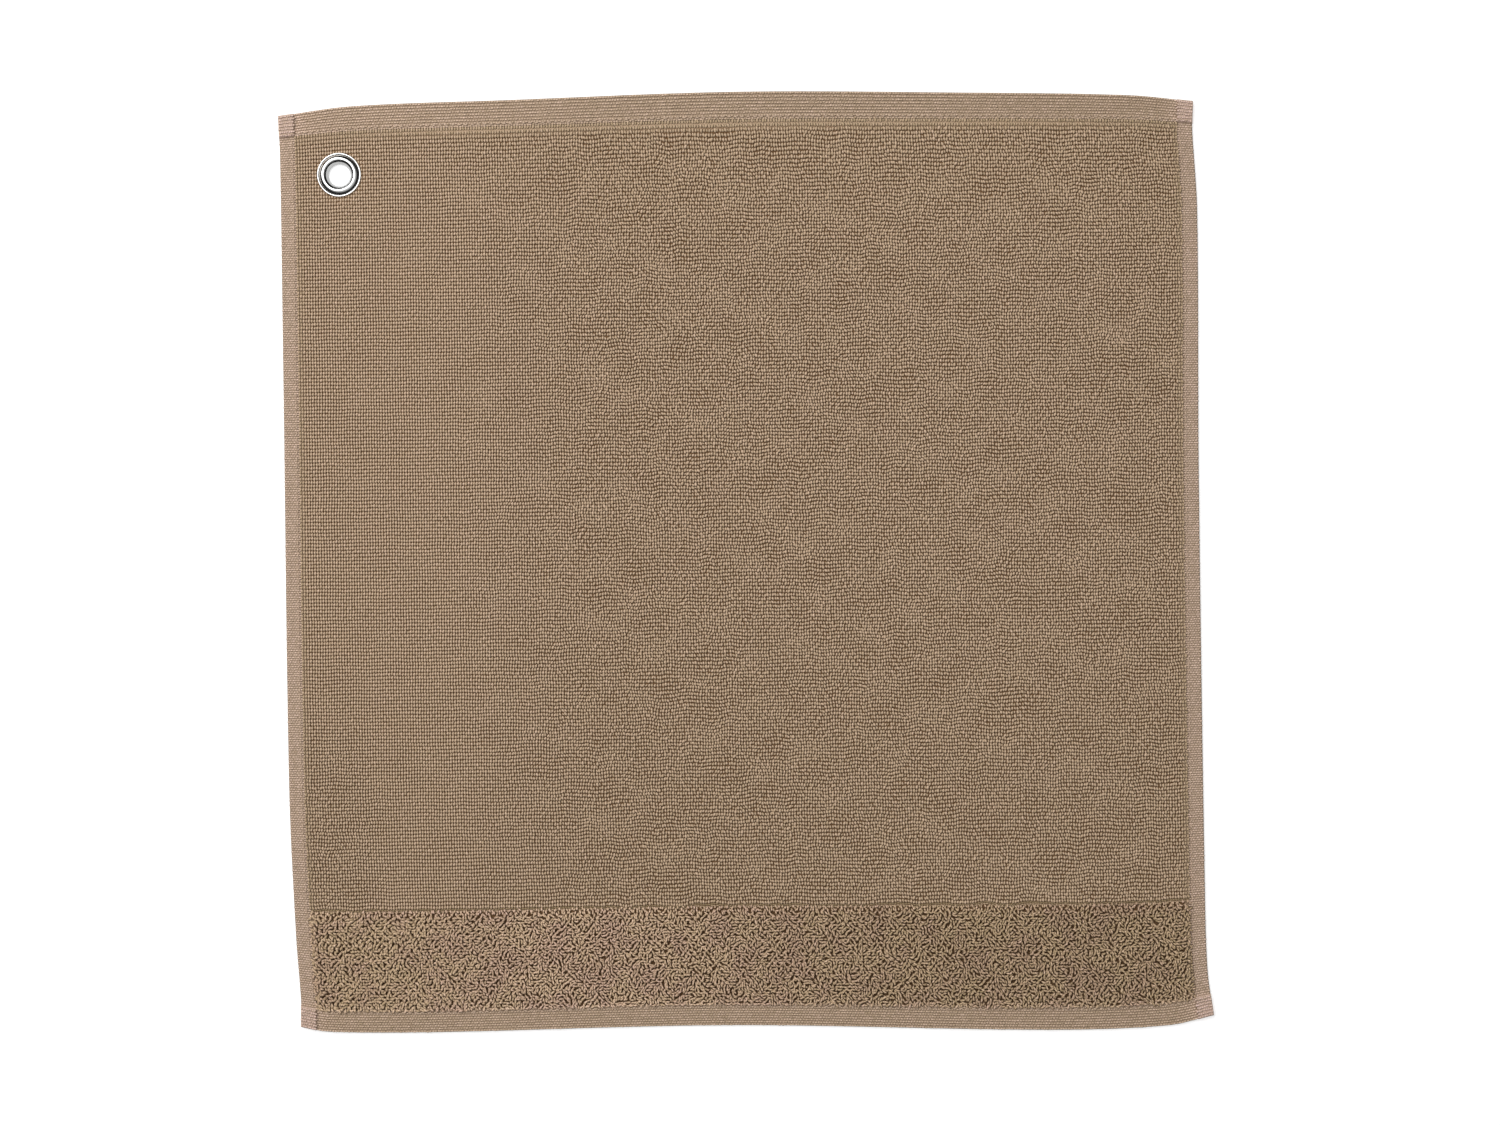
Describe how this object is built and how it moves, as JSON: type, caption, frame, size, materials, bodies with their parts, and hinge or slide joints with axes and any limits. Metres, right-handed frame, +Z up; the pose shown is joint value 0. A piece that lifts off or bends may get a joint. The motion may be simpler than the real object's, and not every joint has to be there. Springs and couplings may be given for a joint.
{
  "type": "golf towel",
  "caption": "Square terry golf towel with a deep-pile band along the bottom, folded and sewn hems, and a metal hanging eyelet in one corner.",
  "frame": {"origin": "middle of the towel's outline, on the surface that it lies on", "axes": "+Y towards the top hem, -X towards the edge nearer the eyelet, +Z up from the surface, out of the face side of the cloth"},
  "size_m": [0.5114, 0.5146, 0.0052],
  "materials": {
    "terry": "matte",
    "deep_pile": "matte",
    "flat_weave": "matte",
    "side_weave": "matte",
    "thread": "satin",
    "nickel": "polished"
  },
  "bodies": {
    "root": {"terry_field": "terry", "divider": "flat_weave", "deep_pile_band": "deep_pile", "top_hem": "flat_weave", "bottom_hem": "flat_weave", "left_hem": "side_weave", "right_hem": "side_weave", "top_seam_thread": "thread", "bottom_seam_thread": "thread", "left_seam_thread": "thread", "right_seam_thread": "thread", "eyelet_barrel": "nickel", "eyelet_washer": "nickel"}
  },
  "joints": []
}
